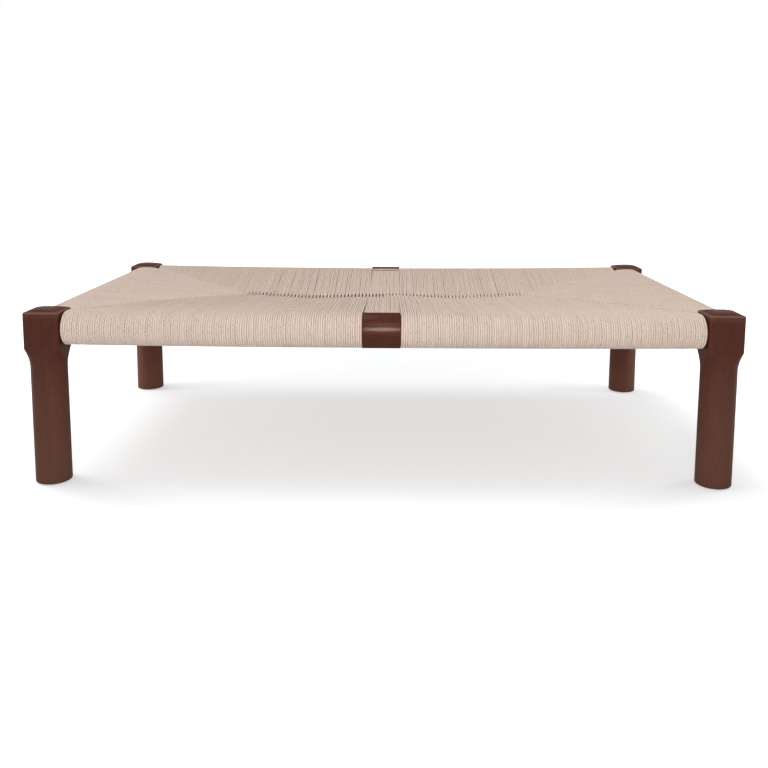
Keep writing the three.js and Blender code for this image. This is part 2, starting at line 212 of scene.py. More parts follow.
def paperCord(name, shade):
    f = cordFinish
    material, tree = newMaterial(name)
    place = out(addNode(tree, "ShaderNodeTexCoord"), "Object")
    tone = out(addNode(tree, "ShaderNodeAttribute", attribute_name="tone"), "Fac")
    along = out(addNode(tree, "ShaderNodeAttribute", attribute_name="along"), "Fac")
    around = addNode(tree, "ShaderNodeSeparateXYZ", {
        "Vector": out(addNode(tree, "ShaderNodeAttribute", attribute_name="around"), "Vector")})
    angle = addNode(tree, "ShaderNodeMath", {0: out(around, "Y"), 1: out(around, "X")}, operation="ARCTAN2")
    turns = addNode(tree, "ShaderNodeMath", {
        0: along, 1: math.tau / (f["twistPitch"] * mm)}, operation="MULTIPLY")
    phase = addNode(tree, "ShaderNodeMath", {
        0: out(angle), 1: float(f["plies"]), 2: out(turns)}, operation="MULTIPLY_ADD")
    wave = addNode(tree, "ShaderNodeMath", {0: out(phase)}, operation="COSINE")
    ply = out(addNode(tree, "ShaderNodeMapRange", {
        "Value": out(wave), "From Min": -1.0, "From Max": f["plyTop"]}))
    fibre = out(addNode(tree, "ShaderNodeTexNoise", {
        "Vector": place, "Scale": 1 / (f["fibreSize"] * mm), "Detail": 2.0, "Roughness": 0.6}))
    drift = out(addNode(tree, "ShaderNodeTexNoise", {
        "Vector": place, "W": tone, "Scale": 1 / (f["driftLength"] * mm), "Detail": 2.0},
        noise_dimensions="4D"))
    hue = out(addNode(tree, "ShaderNodeMapRange", {"Value": tone, "From Min": -1.0, "From Max": 1.0}))
    blend = addNode(tree, "ShaderNodeMix", {
        "Factor": f["driftShare"], "A": hue, "B": drift}, data_type="FLOAT")
    colour = out(addNode(tree, "ShaderNodeValToRGB", {"Fac": out(blend)}, stops=[
        (at, linear(paper)) for at, paper in f["hues"]]))
    # painted shade in the grooves where the plies meet
    plyShade = out(addNode(tree, "ShaderNodeValToRGB", {"Fac": ply}, stops=[
        (0.0, linear(f["plyGrooveShade"])), (f["plyLine"], white)]))
    fibres = out(addNode(tree, "ShaderNodeValToRGB", {"Fac": fibre}, stops=[
        (f["fibreFrom"], linear(f["fibre"])), (f["fibreTo"], white)]))
    # the last layer is painted shade, darkening the short sides' cord
    for layer in (plyShade, fibres, [shade, shade, shade, 1.0]):
        colour = out(addNode(tree, "ShaderNodeMix", {"Factor": 1.0, "A": colour, "B": layer},
                             data_type="RGBA", blend_type="MULTIPLY"))
    height = addNode(tree, "ShaderNodeMath", {
        0: fibre, 1: f["fibreHeight"], 2: ply}, operation="MULTIPLY_ADD")
    bump = addNode(tree, "ShaderNodeBump", {
        "Strength": f["bump"], "Distance": f["bumpDepth"] * mm, "Height": out(height)})
    surface = addNode(tree, "ShaderNodeBsdfPrincipled", {
        "Base Color": colour, "Normal": out(bump), "Roughness": f["roughness"], "IOR": f["ior"],
        "Specular IOR Level": f["specular"]})
    addNode(tree, "ShaderNodeOutputMaterial", {"Surface": out(surface)})
    return material


# Moulded nylon: matt near-black with a very fine mottle.
nylonFinish = {
    "mottle": ((0.35, "#24201e"), (0.65, "#322d2a")), "mottlesPerMetre": 900.0,
    "roughness": 0.55, "ior": 1.53, "bump": 0.2, "bumpDepth": 0.1,
}


def mouldedNylon():
    f = nylonFinish
    material, tree = newMaterial("mouldedNylon")
    place = out(addNode(tree, "ShaderNodeTexCoord"), "Object")
    mottle = out(addNode(tree, "ShaderNodeTexNoise", {
        "Vector": place, "Scale": f["mottlesPerMetre"], "Detail": 2.0}))
    colour = addNode(tree, "ShaderNodeValToRGB", {"Fac": mottle}, stops=[
        (at, linear(black)) for at, black in f["mottle"]])
    bump = addNode(tree, "ShaderNodeBump", {
        "Strength": f["bump"], "Distance": f["bumpDepth"] * mm, "Height": mottle})
    nylon = addNode(tree, "ShaderNodeBsdfPrincipled", {
        "Base Color": out(colour), "Normal": out(bump), "Roughness": f["roughness"], "IOR": f["ior"]})
    addNode(tree, "ShaderNodeOutputMaterial", {"Surface": out(nylon)})
    return material


# Zinc-plated steel: pale grey metal, a little uneven in its shine.
steelFinish = {
    "plating": ((0.3, "#a9a8a4"), (0.7, "#bdbcb8")), "cloudsPerMetre": 600.0, "roughness": (0.28, 0.42),
}


def zincPlatedSteel():
    f = steelFinish
    material, tree = newMaterial("zincPlatedSteel")
    place = out(addNode(tree, "ShaderNodeTexCoord"), "Object")
    cloud = out(addNode(tree, "ShaderNodeTexNoise", {
        "Vector": place, "Scale": f["cloudsPerMetre"], "Detail": 3.0}))
    rough = addNode(tree, "ShaderNodeMapRange", {
        "Value": cloud, "To Min": f["roughness"][0], "To Max": f["roughness"][1]})
    colour = addNode(tree, "ShaderNodeValToRGB", {"Fac": cloud}, stops=[
        (at, linear(grey)) for at, grey in f["plating"]])
    steel = addNode(tree, "ShaderNodeBsdfPrincipled", {
        "Base Color": out(colour), "Roughness": out(rough), "Metallic": 1.0})
    addNode(tree, "ShaderNodeOutputMaterial", {"Surface": out(steel)})
    return material


woods = {axis: stainedWood(f"stainedWalnutGrain{axis}", axis) for axis in "XYZ"}
cordMaterials = {
    "long": paperCord("twistedPaperCord", cordFinish["shade"]["long"]),
    # the short sides' cord, with painted shade
    "short": paperCord("twistedPaperCordShortSidesPaintedShade", cordFinish["shade"]["short"]),
}
nylonMaterial = mouldedNylon()
steelMaterial = zincPlatedSteel()
print("materials made")


# Meshes

def linkObject(name, mesh):
    obj = bpy.data.objects.new(name, mesh)
    bpy.context.scene.collection.objects.link(obj)
    return obj


def joinRings(rings):  # closed rings of points, joined by quads and closed at both ends
    bm = bmesh.new()
    made = [[bm.verts.new(p) for p in ring] for ring in rings]
    for low, high in zip(made, made[1:]):
        for i in range(len(low)):
            j = (i + 1) % len(low)
            bm.faces.new((low[i], low[j], high[j], high[i]))
    for ring in (made[0], made[-1]):
        centre = bm.verts.new(sum((v.co for v in ring), Vector()) / len(ring))
        for i in range(len(ring)):
            bm.faces.new((ring[i], ring[(i + 1) % len(ring)], centre))
    return bm


def placePiece(piece, nodes):
    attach(piece, "root")
    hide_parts(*nodes)


def finishPiece(bm, name, material, node, sharpAngle):
    bmesh.ops.recalc_face_normals(bm, faces=bm.faces[:])
    mesh = bpy.data.meshes.new(name)
    bm.to_mesh(mesh)
    bm.free()
    mesh.polygons.foreach_set("use_smooth", [True] * len(mesh.polygons))
    mesh.set_sharp_from_angle(angle=math.radians(sharpAngle))
    mesh.materials.append(material)
    placePiece(linkObject(name, mesh), [node])


def sidePoint(side, along, inward, z):  # from a place along one side and a distance in from its outer face
    if side == "front":
        return Vector((along, lowest.y + inward, z))
    if side == "back":
        return Vector((along, highest.y - inward, z))
    if side == "left":
        return Vector((lowest.x + inward, along, z))
    return Vector((highest.x - inward, along, z))


# The long rails hang a little at mid-length, the back one more, and the front one's left end is higher

bow = {
    "front": {"endRise": 0.0, "middleDrop": 3.2, "tilt": 0.9},
    "back": {"endRise": 1.5, "middleDrop": 4.2, "tilt": 0.0},
    "power": 2.5, "cordsProud": 0.4,
}


def centreZ(side, along):  # the height of a rail's middle
    if side in ("left", "right"):
        return railZ
    shape = bow[side]
    share = 1 - min(1.0, abs(along) / headInnerX) ** bow["power"]
    lift = mix(shape["endRise"], -shape["middleDrop"], share) - shape["tilt"] * along / headInnerX
    return railZ + lift * mm


wrappedRadius = wrapRadius + bow["cordsProud"] * mm


# Legs: a square head with rounded edges and a crowned top runs through a turned shoulder into the shaft

leg = {
    "edgeRadius": 5.0, "topRound": 3.5, "dome": 6.5, "headHeight": 83, "shoulder": 48, "shoulderPower": 2.2,
    "footGap": 2, "footRound": 2.5,
    # the softened line where the head's faces meet the turning, and where it begins and is full
    "softArris": 1.6, "arrisFrom": -2, "arrisTo": 4,
    # the shoulder has closer rings, from this far below it to this far above it
    "ringsBelow": 3, "ringsAbove": 5, "bodySteps": (8, 34, 6),
    "footSteps": 5, "topSteps": 6, "domeSteps": 9,
    "cornerSpan": 5.5,  # degrees to each side of a corner that have the closer points
    "cornerSteps": 8, "flatSteps": 20, "sharpAngle": 50,
}


def squareReach(angle, half, corner):  # from the middle to the edge of a rounded square
    c, s = abs(math.cos(angle)), abs(math.sin(angle))
    c, s = max(c, s), min(c, s)
    inner = half - corner
    if half * s / c <= inner:
        return half / c
    return inner * (c + s) + math.sqrt(max(0.0, (inner * (c + s)) ** 2 - 2 * inner ** 2 + corner ** 2))


def legAngles():
    span = math.radians(leg["cornerSpan"])
    flat = math.pi / 2 - 2 * span
    angles = []
    for quarter in range(4):
        middle = math.pi / 4 + quarter * math.pi / 2
        angles += [middle + span * (2 * i / leg["cornerSteps"] - 1) for i in range(leg["cornerSteps"])]
        angles += [middle + span + flat * i / leg["flatSteps"] for i in range(leg["flatSteps"])]
    return angles


def makeLeg(corner):
    low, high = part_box(f"{corner}_leg")
    middle = (low + high) / 2
    half, top = legSize / 2, high.z
    edge, topRound, footRound = leg["edgeRadius"] * mm, leg["topRound"] * mm, leg["footRound"] * mm
    headBottom = top - leg["headHeight"] * mm
    shoulder = leg["shoulder"] * mm
    shoulderBottom = headBottom - shoulder
    footZ = leg["footGap"] * mm
    angles = legAngles()

    def ring(reachAt, z):
        return [Vector((middle.x + reachAt(a) * math.cos(a), middle.y + reachAt(a) * math.sin(a), z))
                for a in angles]

    def squareRing(reach, round_, z):
        return ring(lambda angle: squareReach(angle, reach, round_), z)

    def bodyReach(z, inset):
        rise = max(0.0, (z - shoulderBottom) / shoulder)
        turnedReach = half + half * (math.sqrt(2) - 1) * rise ** leg["shoulderPower"] - inset
        soft = leg["softArris"] * mm * smoothStep(
            z, shoulderBottom + leg["arrisFrom"] * mm, shoulderBottom + leg["arrisTo"] * mm)

        def reachAt(angle):
            square = squareReach(angle, half, edge)
            reach = min(square, turnedReach)
            if soft > 0:
                reach -= max(soft - abs(square - turnedReach), 0.0) ** 2 / (4 * soft)
            return reach
        return reachAt

    rings = []
    for step in range(leg["footSteps"] + 1):
        t = math.pi / 2 * step / leg["footSteps"]
        z = footZ + footRound * (1 - math.cos(t))
        rings.append(ring(bodyReach(z, footRound * (1 - math.sin(t))), z))
    rim = top - leg["dome"] * mm
    stops = (footZ + footRound, shoulderBottom - leg["ringsBelow"] * mm,
             headBottom + leg["ringsAbove"] * mm, rim - topRound)
    for start, end, steps in zip(stops, stops[1:], leg["bodySteps"]):
        for step in range(1, steps + 1):
            z = mix(start, end, step / steps)
            rings.append(ring(bodyReach(z, 0.0), z))
    for step in range(1, leg["topSteps"] + 1):
        t = math.pi / 2 * step / leg["topSteps"]
        inset = topRound * (1 - math.cos(t))
        rings.append(squareRing(half - inset, edge - 0.5 * inset, rim - topRound * (1 - math.sin(t))))
    for step in range(1, leg["domeSteps"]):
        share = 1 - step / leg["domeSteps"]
        reach = (half - topRound) * share
        softCorner = mix(edge - 0.5 * topRound, reach, 1 - share)
        rings.append(squareRing(reach, softCorner, mix(top, rim, share ** 2)))
    finishPiece(joinRings(rings), f"{corner}_turned_leg", woods["Z"],
                f"{corner}_leg", leg["sharpAngle"])


for corner in ("front_left", "front_right", "back_left", "back_right"):
    makeLeg(corner)
print("legs made")


# Where the caps sit: short half-round blocks at mid-length of the long rails

cap = {
    "fuller": 1.75, "raised": {"front": 1.95, "back": 0.8}, "shift": {"front": -2.4, "back": 0.0},
    "cordRaised": {"front": 3.4, "back": 1.5},
    "arcSteps": 40, "grooveSteps": 8, "grooveGap": 0.2, "endRound": 0.7, "endSteps": 3, "sharpAngle": 40,
}


def shifted(side, along):  # the cap and what is near it sit a little to one side of the middle
    if side in ("left", "right"):
        return along
    return along + cap["shift"][side] * mm * (1 - min(1.0, abs(along) / headInnerX))


# Long rails: bare wood shows only between each head and the first cord. Behind the cap they are notched.

rail = {
    "innerRound": 12.0, "endGap": 0.3, "notchRound": 4.2, "notchDepth": 6.5,
    "noseSteps": 24, "roundSteps": 4, "stations": 14, "sharpAngle": 40,
}


def railOutline(radius, notchFace):  # as (in from the outer face, up from the rail's middle)
    points = []
    for step in range(rail["noseSteps"] + 1):
        t = math.pi * (0.5 + step / rail["noseSteps"])
        inward, up = noseIn + radius * math.cos(t), radius * math.sin(t)
        if notchFace:
            soft = rail["notchRound"] * mm
            drop = max(0.0, abs(up) - (radius - soft))
            inward = max(inward, notchFace + soft - math.sqrt(max(0.0, soft ** 2 - drop ** 2)))
        points.append((inward, up))
    soft = rail["innerRound"] * mm
    for start, up in ((-math.pi / 2, soft - radius), (0, radius - soft)):
        for step in range(rail["roundSteps"] + 1):
            t = start + math.pi / 2 * step / rail["roundSteps"]
            points.append((railInner - soft + soft * math.cos(t), up + soft * math.sin(t)))
    return points


def makeRail(side):
    end = headInnerX - rail["endGap"] * mm
    notch = capHalf + rail["endGap"] * mm
    notchFace = capBack + rail["endGap"] * mm + cordDiameter
    left = [(-mix(notch, end, math.cos(math.pi / 2 * i / rail["stations"])), None)
            for i in range(rail["stations"] + 1)]
    right = [(-along, None) for along, _ in reversed(left)]
    rings = []
    for along, face in left + [(-notch, notchFace), (0.0, notchFace), (notch, notchFace)] + right:
        radius = wrappedRadius - cordDiameter - (rail["notchDepth"] * mm if face else 0.0)
        rings.append([sidePoint(side, shifted(side, along), inward, centreZ(side, along) + up)
                      for inward, up in railOutline(radius, face)])
    finishPiece(joinRings(rings), f"{side}_bowed_rail", woods["X"],
                f"{side}_rail", rail["sharpAngle"])


for side in ("front", "back"):
    makeRail(side)
print("rails made")


# Caps: round in front, flat behind, with a rabbet at the top for the edge cord

def capPlace(side):  # its radius, and its middle: in from the outer face, and the height
    fuller = cap["fuller"] * mm
    radius = (capBox[1].z - capBox[0].z) / 2 + fuller
    return radius, noseIn + fuller, centreZ(side, 0.0) + cap["raised"][side] * mm


def edgeCordPlace(side):  # the cord's centre, in from the outer face and up
    low, high = edgeCordBox
    raised = cap["cordRaised"][side] * mm
    return (low.y + high.y) / 2 - lowest.y, centreZ(side, 0.0) + (low.z + high.z) / 2 - railZ + raised


def capOutline(side):
    radius, middleIn, middle = capPlace(side)
    grooveIn, grooveZ = edgeCordPlace(side)
    groove = Vector((grooveIn - middleIn, grooveZ - middle))
    clear = cordRadius + cap["grooveGap"] * mm
    back = capBack - middleIn
    start = math.tau - math.acos(back / radius)
    end = math.acos((groove.x - clear) / radius)
    points = []
    for step in range(cap["arcSteps"] + 1):
        t = mix(start, end, step / cap["arcSteps"])
        points.append(Vector((radius * math.cos(t), radius * math.sin(t))))
    grooveEnd = math.tau - math.acos((back - groove.x) / clear)
    for step in range(cap["grooveSteps"] + 1):
        t = mix(math.pi, grooveEnd, step / cap["grooveSteps"])
        points.append(groove + clear * Vector((math.cos(t), math.sin(t))))
    return points, middleIn, middle


def makeCap(side):
    points, middleIn, middle = capOutline(side)
    normals = []
    for before, after in zip(points[-1:] + points[:-1], points[1:] + points[:1]):
        edge = (after - before).normalized()
        normals.append(Vector((edge.y, -edge.x)))
    places = []  # along the cap, and how far in the outline is there
    round_ = cap["endRound"] * mm
    for step in range(cap["endSteps"] + 1):
        t = math.pi / 2 * step / cap["endSteps"]
        places.append((-capHalf + round_ * (1 - math.cos(t)), round_ * (1 - math.sin(t))))
    places += [(-along, inset) for along, inset in reversed(places)]
    aside = cap["shift"][side] * mm
    rings = [[sidePoint(side, along + aside, middleIn + (p + n * inset).x, middle + (p + n * inset).y)
              for p, n in zip(points, normals)] for along, inset in places]
    finishPiece(joinRings(rings), f"{side}_half_round_cap", woods["X"],
                f"{side}_center_cap", cap["sharpAngle"])


for side in ("front", "back"):
    makeCap(side)
print("caps made")


# Woven cord: each route of points becomes one round cord that wanders a little

def wovenCordTree():
    tree = bpy.data.node_groups.new("wovenCord", "GeometryNodeTree")
    face = tree.interface
    face.new_socket("Geometry", in_out="INPUT", socket_type="NodeSocketGeometry")
    for name, kind in (("Cord Diameter", "Float"), ("Sides", "Int"), ("Wander", "Vector"),
                       ("Wander Length", "Float"), ("Seed", "Int"), ("Material", "Material")):
        face.new_socket(name, in_out="INPUT", socket_type=f"NodeSocket{kind}")
    face.new_socket("Geometry", in_out="OUTPUT", socket_type="NodeSocketGeometry")
    given = addNode(tree, "NodeGroupInput").outputs
    number = addNode(tree, "GeometryNodeInputNamedAttribute", {"Name": "cordNumber"}, data_type="INT")
    loose = addNode(tree, "GeometryNodeInputNamedAttribute", {"Name": "loose"}, data_type="FLOAT")
    curve = addNode(tree, "GeometryNodeMeshToCurve", {"Mesh": given["Geometry"]})
    tone = addNode(tree, "FunctionNodeRandomValue", {
        "Min": -1.0, "Max": 1.0, "ID": out(number, "Attribute"), "Seed": given["Seed"]}, data_type="FLOAT")
    toned = addNode(tree, "GeometryNodeStoreNamedAttribute", {
        "Geometry": out(curve), "Name": "tone", "Value": out(tone)}, data_type="FLOAT", domain="POINT")

    # Each cord reads the noise at a place of its own, and strays as far as the point is loose
    place = out(addNode(tree, "GeometryNodeInputPosition"))
    perLength = addNode(tree, "ShaderNodeMath", {0: 1.0, 1: given["Wander Length"]}, operation="DIVIDE")
    scaled = addNode(tree, "ShaderNodeVectorMath", {
        "Vector": place, "Scale": out(perLength)}, operation="SCALE")
    apart = addNode(tree, "ShaderNodeMath", {0: out(tone), 1: 50.0}, operation="MULTIPLY")
    noise = addNode(tree, "ShaderNodeTexNoise", {
        "Vector": out(scaled), "W": out(apart), "Scale": 1.0, "Detail": 1.0}, noise_dimensions="4D")
    centred = addNode(tree, "ShaderNodeVectorMath", {
        0: out(noise, "Color"), 1: (0.5, 0.5, 0.5)}, operation="SUBTRACT")
    stray = addNode(tree, "ShaderNodeVectorMath", {
        0: out(centred), 1: given["Wander"]}, operation="MULTIPLY")
    offset = addNode(tree, "ShaderNodeVectorMath", {
        "Vector": out(stray), "Scale": out(loose, "Attribute")}, operation="SCALE")
    moved = addNode(tree, "GeometryNodeSetPosition", {"Geometry": out(toned), "Offset": out(offset)})

    radius = addNode(tree, "ShaderNodeMath", {0: given["Cord Diameter"], 1: 0.5}, operation="MULTIPLY")
    circle = addNode(tree, "GeometryNodeCurvePrimitiveCircle", {
        "Resolution": given["Sides"], "Radius": out(radius)}, mode="RADIUS")
    profile = addNode(tree, "GeometryNodeStoreNamedAttribute", {
        "Geometry": out(circle), "Name": "around", "Value": place},
        data_type="FLOAT_VECTOR", domain="POINT")
    tube = addNode(tree, "GeometryNodeCurveToMesh", {
        "Curve": out(moved), "Profile Curve": out(profile), "Fill Caps": True})
    smooth = addNode(tree, "GeometryNodeSetShadeSmooth", {"Geometry": out(tube)})
    real = addNode(tree, "GeometryNodeRealizeInstances", {"Geometry": out(smooth)})
    coated = addNode(tree, "GeometryNodeSetMaterial", {
        "Geometry": out(real), "Material": given["Material"]})
    addNode(tree, "NodeGroupOutput", {"Geometry": out(coated)})
    return tree


cordSweep = {"sides": 8, "wanderAlong": 1.1, "wanderUp": 1.0, "wanderLength": 70, "seed": 11}
cordTree = wovenCordTree()


def makeCords(name, side, routes, node, closed=True):  # a route is a list of (point, looseness)
    points, edges, along, number, loose = [], [], [], [], []
    for index, route in enumerate(routes):
        first, run = len(points), 0.0
        for i, (point, looseness) in enumerate(route):
            run += (point - route[i - 1][0]).length if i else 0.0
            points.append(point)
            along.append(run)
            number.append(index)
            loose.append(looseness)
        last = len(points) - 1
        edges += [(i, i + 1) for i in range(first, last)] + ([(last, first)] if closed else [])
    mesh = bpy.data.meshes.new(name)
    mesh.from_pydata(points, edges, [])
    for label, kind, values in (("along", "FLOAT", along), ("cordNumber", "INT", number),
                                ("loose", "FLOAT", loose)):
        mesh.attributes.new(label, kind, "POINT").data.foreach_set("value", values)
    piece = linkObject(name, mesh)
    wander = [cordSweep["wanderAlong"] * mm, 0.0, cordSweep["wanderUp"] * mm]
    sides = "short" if side in ("left", "right") else "long"
    if sides == "short":
        wander[:2] = wander[1::-1]
    modifier = piece.modifiers.new("wovenCord", "NODES")
    modifier.node_group = cordTree
    values = {"Cord Diameter": cordDiameter, "Sides": cordSweep["sides"], "Wander": wander,
              "Wander Length": cordSweep["wanderLength"] * mm, "Seed": cordSweep["seed"],
              "Material": cordMaterials[sides]}
    for socket in cordTree.interface.items_tree:
        if socket.in_out == "INPUT" and socket.name in values:
            modifier[socket.identifier] = values[socket.name]
    graph = bpy.context.evaluated_depsgraph_get()
    finished = bpy.data.meshes.new_from_object(piece.evaluated_get(graph), depsgraph=graph)
    piece.modifiers.clear()
    piece.data = finished
    for label in ("cordNumber", "loose"):
        finished.attributes.remove(finished.attributes[label])
    placePiece(piece, [node])
    print(name, len(routes), "cords,", len(finished.polygons), "faces")


# The weave: cords go over a rail's nose, slope to a seam, hook down there and come back underneath.
# Near a seam the upper ones draw together in pairs, one on top of the other. The diagonal seams are
# mitres; the straight one between them is the bridge.
weave = {
    "bareEnd": {"front": 3.0, "back": 4.5}, "shortBareEnd": 1.0,
    "cornerGap": (12, 5),  # beside a head: how far along, and how far back, the cords leave the mitre open
    "pitch": 4.88, "centrePitch": 4.6, "centreCords": 18, "capGap": 0.35, "capBend": 9,
    "lean": 0.06, "leaveRail": 21.5, "noseSteps": 6, "bendSteps": 3, "hookSteps": 3,
    # points of a span: their distance, and how far behind the rail's edge the first one may be; then the
    # closer points before a hook
    "spanStep": 45, "spanFrom": 12, "seamPoints": (8, 18, 30), "seamPointsFrom": 6,
    # how loose a cord is on the nose, where it leaves the rail, at a span's ends and middle, and in a hook
    "loose": {"nose": 0.15, "leaving": 0.3, "ends": 0.4, "middle": 1.0, "hook": 0.2},
    # top of the mitres at the heads, its fall to the bridge, and the power of that curve
    "mitreTops": (377.0, 21.5, 1.8), "nearSink": 4.5,
    # distance from mid-length, and the bridge's top there
    "bridgeTops": ((0, 353), (200, 347.8), (290, 351.5), (345, 355.5), (420, 356)),
    # over a whole field: share of their spacing that two cords of a pair keep, and their lift
    "spanPair": {"front": (0.92, 0.7), "back": (0.96, 0.2), "left": (0.96, 0.3), "right": (0.96, 0.3)},
    # before a seam: length, share of the spacing kept, lift
    "bridgePair": {"front": (40, 0.5, 1.5), "back": (45, 0.15, 2.4)}, "mitrePair": (22, 0.6, 0.7),
    # where a hook goes down before the seam, its radius, and its lift: for single, upper and lower cords
    "bridgeHooks": {0: (2.3, 5.0, 0.0), 1: (-0.75, 6.0, 0.0), -1: (3.75, 3.2, 0.0)},
    "longMitreHook": (2.8, 5.0, -0.4), "shortMitreHook": (2.0, 5.0, 0.5),
    "noseJitter": 0.15, "jitter": 0.25, "heightJitter": 0.3, "pairSway": 0.5, "seed": 4,
}
dice = random.Random(weave["seed"])
bridgeIn = tableDepth / 2


def topAtMitre(inward, isNear):
    top, fall, power = weave["mitreTops"]
    share = max(0.0, (inward - noseIn) / (bridgeIn - noseIn))
    return (top - fall * share ** power - isNear * weave["nearSink"] * (1 - share)) * mm


def topAtBridge(along):
    tops = weave["bridgeTops"]
    for (near, nearTop), (far, farTop) in zip(tops, tops[1:]):
        if abs(along) < far * mm:
            return mix(nearTop, farTop, smoothStep(abs(along) / mm, near, far)) * mm
    return tops[-1][1] * mm


def leanShare(inward, lean):
    return 1 - lean * max(0.0, inward - noseIn) / (bridgeIn - noseIn)


# One half of a route, upper (sign 1) or lower (-1), from the middle of the nose to the seam

def halfRoute(side, cord, sign):
    middle = centreZ(side, cord["nose"])
    radius = wrappedRadius - cordRadius
    top = middle + radius - (rail["notchDepth"] * mm if cord["capped"] else 0.0)
    spanKeep, spanLift = weave["spanPair"][side]
    reach, keep, lift = cord["pairing"]
    if sign < 0:  # the underside stays evenly spaced, so that nothing shows through the seam
        keep, lift = 1.0, 0.0
    back, hook, over = cord["hook"]
    hookIn = cord["end"] - back * mm - hook * mm
    seamZ = cord["top"] - cordRadius + (over + dice.uniform(-1, 1) * weave["heightJitter"]) * mm
    leaveIn = noseIn + weave["leaveRail"] * mm
    sway = cord["sway"] * mm if sign > 0 else 0.0
    ownWay = dice.uniform(-1, 1) * weave["jitter"] * mm
    half = cord["nose"] - cord["pair"]
    loose = weave["loose"]
    route = []

    def add(inward, z, looseness):
        share = max(0.0, min(1.0, (inward - leaveIn) / (hookIn - leaveIn)))
        drawn = smoothStep(reach * mm - (cord["end"] - inward), 0.0, reach * mm)
        near = mix(1.0, spanKeep, smoothStep(share, 0.0, 0.5)) if cord["member"] else 1.0
        along = cord["pair"] + sway * math.sin(math.pi * share) + half * mix(near, keep, drawn)
        along = along * leanShare(inward, cord["lean"]) + ownWay * share * (1 - drawn)
        z += mix(spanLift * smoothStep(share, 0.0, 0.4), lift, drawn) * mm * cord["member"]
        z = max(z, middle + mm) if inward > leaveIn else z
        route.append((sidePoint(side, along, inward, mix(middle, z, sign)), looseness))

    if cord["capped"]:
        bend = weave["capBend"] * mm - cordRadius
        face = capBack + cap["grooveGap"] * mm + cordRadius
        route.append((sidePoint(side, cord["nose"], face, middle), 0.0))
        for step in range(weave["bendSteps"] + 1):
            t = math.pi / 2 * step / weave["bendSteps"]
            add(face + bend * (1 - math.cos(t)), top - bend * (1 - math.sin(t)), 0.0)
    else:
        for step in range(weave["noseSteps"] + 1):
            t = math.pi / 2 * step / weave["noseSteps"]
            add(noseIn - radius * math.cos(t), middle + radius * math.sin(t), loose["nose"])
    add(leaveIn, top, loose["leaving"])
    places = [hookIn - near * mm for near in weave["seamPoints"]
              if hookIn - near * mm > leaveIn + weave["seamPointsFrom"] * mm]
    place = hookIn - weave["spanStep"] * mm
    while place > leaveIn + weave["spanFrom"] * mm:
        places.append(place)
        place -= weave["spanStep"] * mm
    for place in sorted(places):
        share = (place - leaveIn) / (hookIn - leaveIn)
        add(place, mix(top, seamZ, share), mix(loose["ends"], loose["middle"], math.sin(math.pi * share)))
    for step in range(weave["hookSteps"] + 1):
        t = math.pi / 2 * step / weave["hookSteps"]
        add(hookIn + hook * mm * math.sin(t), seamZ - hook * mm * (1 - math.cos(t)), loose["hook"])
    return route


def wholeRoute(side, cord):
    return halfRoute(side, cord, 1)[::-1] + halfRoute(side, cord, -1)[1:]


def evenly(start, end, pitch):
    count = round((end - start) / (pitch * mm))
    inner = [mix(start, end, i / count) + dice.uniform(-1, 1) * weave["noseJitter"] * mm
             for i in range(1, count)]
    return [start] + inner + [end]


# Puts neighbours in pairs. An oddStart of 1 leaves the first cord single, so that the two sides of a
# seam interleave.

def paired(noses, oddStart):
    cords = [{"nose": nose, "pair": nose, "member": 0, "sway": 0.0} for nose in noses]
    for first in range(oddStart, len(noses) - 1, 2):
        sway = dice.uniform(-1, 1) * weave["pairSway"]
        upper = 1 if noses[first] < 0 else -1
        for member, cord in ((upper, cords[first]), (-upper, cords[first + 1])):
            cord.update(pair=(noses[first] + noses[first + 1]) / 2, member=member, sway=sway)
    return cords


def cornerGap(fromHead):  # how much shorter a cord beside a head is
    length, back = weave["cornerGap"]
    return back * mm * (1 - smoothStep(fromHead, 0.0, length * mm))


def longSideCords(side):
    fieldNoses = evenly(capHalf + weave["capGap"] * mm + cordRadius,
                        headInnerX - weave["bareEnd"][side] * mm - cordRadius, weave["pitch"])
    stripHalf = (weave["centreCords"] - 1) / 2 * weave["centrePitch"] * mm
    strip = evenly(-stripHalf, stripHalf, weave["centrePitch"])
    noses = [-nose for nose in reversed(fieldNoses)] + strip + fieldNoses
    cords = paired(noses, 0 if side == "front" else 1)
    slope = weave["lean"] / (bridgeIn - noseIn)
    for cord in cords:
        reach = abs(cord["nose"])
        end = (tableLength / 2 - reach - reach * slope * noseIn) / (1 - reach * slope)
        end -= cornerGap(headInnerX - reach)
        bridged = end > bridgeIn
        cord.update(capped=reach < capHalf, lean=weave["lean"], end=min(end, bridgeIn),
                    top=topAtBridge(cord["nose"]) if bridged else topAtMitre(end, side == "front"),
                    pairing=weave["bridgePair"][side] if bridged else weave["mitrePair"],
                    hook=weave["bridgeHooks"][cord["member"]] if bridged else weave["longMitreHook"])
        aside = shifted(side, cord["nose"]) - cord["nose"]
        cord["nose"] += aside
        cord["pair"] += aside
    return cords


def shortSideCords(side):
    reach = headInnerY - weave["shortBareEnd"] * mm - cordRadius
    cords = paired(evenly(-reach, reach, weave["pitch"]), 0)
    for cord in cords:
        end = bridgeIn - abs(cord["nose"]) - cornerGap(headInnerY - abs(cord["nose"]))
        cord.update(capped=False, lean=0.0, end=end, top=topAtMitre(end, cord["nose"] < 0),
                    pairing=weave["mitrePair"], hook=weave["shortMitreHook"])
    return cords


for side in ("front", "back"):
    cords = longSideCords(side)
    for cord in cords:
        cord["part"] = "center" if cord["capped"] else "left" if cord["nose"] < 0 else "right"
    for part in ("left", "center", "right"):
        routes = [wholeRoute(side, cord) for cord in cords if cord["part"] == part]
        makeCords(f"{side}_{part}_cords", side, routes, f"{side}_{part}_weave")
for side in ("left", "right"):
    routes = [wholeRoute(side, cord) for cord in shortSideCords(side)]
    makeCords(f"{side}_cords", side, routes, f"{side}_weave")

